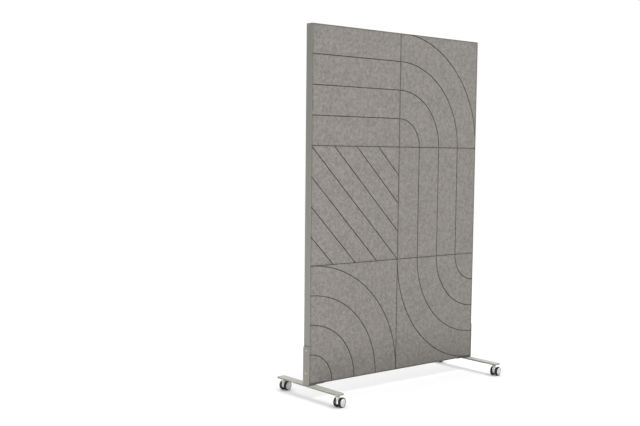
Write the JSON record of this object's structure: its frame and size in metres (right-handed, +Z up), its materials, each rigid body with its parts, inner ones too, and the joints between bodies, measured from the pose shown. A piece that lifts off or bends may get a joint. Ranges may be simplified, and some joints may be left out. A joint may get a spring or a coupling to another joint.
{
  "type": "rolling partition",
  "caption": "Tall free-standing room divider: a grooved felt panel in a slim painted frame, on two flat foot bars with swivelling castors.",
  "frame": {"origin": "on the floor, under the middle of the panel", "axes": "+Z up, +X along the panel's width, the grooved face looks towards -Y"},
  "size_m": [1.231, 0.4945, 1.877],
  "materials": {
    "paint": "fine-textured satin powder coat, pebble grey",
    "felt": "pressed felt board, mottled warm grey",
    "core": "particle board, hidden between the felt",
    "cast_alloy": "as cast",
    "steel": "zinc plated",
    "bush": "machined",
    "castor_plastic": "moulded, near white, lightly textured",
    "wheel_plastic": "moulded, very light grey, satin",
    "tyre": "soft black tread, dull"
  },
  "bodies": {
    "partition": {"stile_left": "paint", "stile_right": "paint", "rail_top": "paint", "rail_bottom": "paint", "corner_keys": "cast_alloy", "nut_strips": "steel", "core_board": "core", "felt_front_bottom_left": "felt", "felt_front_bottom_right": "felt", "felt_front_middle_left": "felt", "felt_front_middle_right": "felt", "felt_front_top_left": "felt", "felt_front_top_right": "felt", "felt_back_bottom_left": "felt", "felt_back_bottom_right": "felt", "felt_back_middle_left": "felt", "felt_back_middle_right": "felt", "felt_back_top_left": "felt", "felt_back_top_right": "felt", "bracket_left": "paint", "bracket_right": "paint", "bracket_screws": "steel", "foot_bar_left": "paint", "foot_bar_right": "paint", "bar_screws": "steel", "flange_screws": "steel", "stem_clips": "steel", "front_left_castor_stem": "steel", "front_right_castor_stem": "steel", "rear_left_castor_stem": "steel", "rear_right_castor_stem": "steel"},
    "front_left_castor": {"front_left_castor_bush": "bush", "front_left_castor_housing": "castor_plastic", "front_left_castor_axle": "steel"},
    "front_left_wheel_a": {"front_left_castor_wheel_a": "wheel_plastic", "front_left_castor_tyre_a": "tyre"},
    "front_left_wheel_b": {"front_left_castor_wheel_b": "wheel_plastic", "front_left_castor_tyre_b": "tyre"},
    "front_right_castor": {"front_right_castor_bush": "bush", "front_right_castor_housing": "castor_plastic", "front_right_castor_axle": "steel"},
    "front_right_wheel_a": {"front_right_castor_wheel_a": "wheel_plastic", "front_right_castor_tyre_a": "tyre"},
    "front_right_wheel_b": {"front_right_castor_wheel_b": "wheel_plastic", "front_right_castor_tyre_b": "tyre"},
    "rear_left_castor": {"rear_left_castor_bush": "bush", "rear_left_castor_housing": "castor_plastic", "rear_left_castor_axle": "steel"},
    "rear_left_wheel_a": {"rear_left_castor_wheel_a": "wheel_plastic", "rear_left_castor_tyre_a": "tyre"},
    "rear_left_wheel_b": {"rear_left_castor_wheel_b": "wheel_plastic", "rear_left_castor_tyre_b": "tyre"},
    "rear_right_castor": {"rear_right_castor_bush": "bush", "rear_right_castor_housing": "castor_plastic", "rear_right_castor_axle": "steel"},
    "rear_right_wheel_a": {"rear_right_castor_wheel_a": "wheel_plastic", "rear_right_castor_tyre_a": "tyre"},
    "rear_right_wheel_b": {"rear_right_castor_wheel_b": "wheel_plastic", "rear_right_castor_tyre_b": "tyre"}
  },
  "joints": [
    {"name": "front_left_castor_swivel", "type": "hinge", "parent": "partition", "child": "front_left_castor", "pos_m": [-0.579, -0.22, 0.0588], "axis": [0, 0, 1], "continuous": true},
    {"name": "front_left_wheel_a_spin", "type": "hinge", "parent": "front_left_castor", "child": "front_left_wheel_a", "pos_m": [-0.5592, -0.23138, 0.025], "axis": [-0.2079, 0.9781, 0], "continuous": true},
    {"name": "front_left_wheel_b_spin", "type": "hinge", "parent": "front_left_castor", "child": "front_left_wheel_b", "pos_m": [-0.56554, -0.20155, 0.025], "axis": [-0.2079, 0.9781, 0], "continuous": true},
    {"name": "front_right_castor_swivel", "type": "hinge", "parent": "partition", "child": "front_right_castor", "pos_m": [0.579, -0.22, 0.0588], "axis": [0, 0, 1], "continuous": true},
    {"name": "front_right_wheel_a_spin", "type": "hinge", "parent": "front_right_castor", "child": "front_right_wheel_a", "pos_m": [0.5988, -0.23138, 0.025], "axis": [-0.2079, 0.9781, 0], "continuous": true},
    {"name": "front_right_wheel_b_spin", "type": "hinge", "parent": "front_right_castor", "child": "front_right_wheel_b", "pos_m": [0.59246, -0.20155, 0.025], "axis": [-0.2079, 0.9781, 0], "continuous": true},
    {"name": "rear_left_castor_swivel", "type": "hinge", "parent": "partition", "child": "rear_left_castor", "pos_m": [-0.579, 0.22, 0.0588], "axis": [0, 0, 1], "continuous": true},
    {"name": "rear_left_wheel_a_spin", "type": "hinge", "parent": "rear_left_castor", "child": "rear_left_wheel_a", "pos_m": [-0.5592, 0.20862, 0.025], "axis": [-0.2079, 0.9781, 0], "continuous": true},
    {"name": "rear_left_wheel_b_spin", "type": "hinge", "parent": "rear_left_castor", "child": "rear_left_wheel_b", "pos_m": [-0.56554, 0.23845, 0.025], "axis": [-0.2079, 0.9781, 0], "continuous": true},
    {"name": "rear_right_castor_swivel", "type": "hinge", "parent": "partition", "child": "rear_right_castor", "pos_m": [0.579, 0.22, 0.0588], "axis": [0, 0, 1], "continuous": true},
    {"name": "rear_right_wheel_a_spin", "type": "hinge", "parent": "rear_right_castor", "child": "rear_right_wheel_a", "pos_m": [0.5988, 0.20862, 0.025], "axis": [-0.2079, 0.9781, 0], "continuous": true},
    {"name": "rear_right_wheel_b_spin", "type": "hinge", "parent": "rear_right_castor", "child": "rear_right_wheel_b", "pos_m": [0.59246, 0.23845, 0.025], "axis": [-0.2079, 0.9781, 0], "continuous": true}
  ]
}
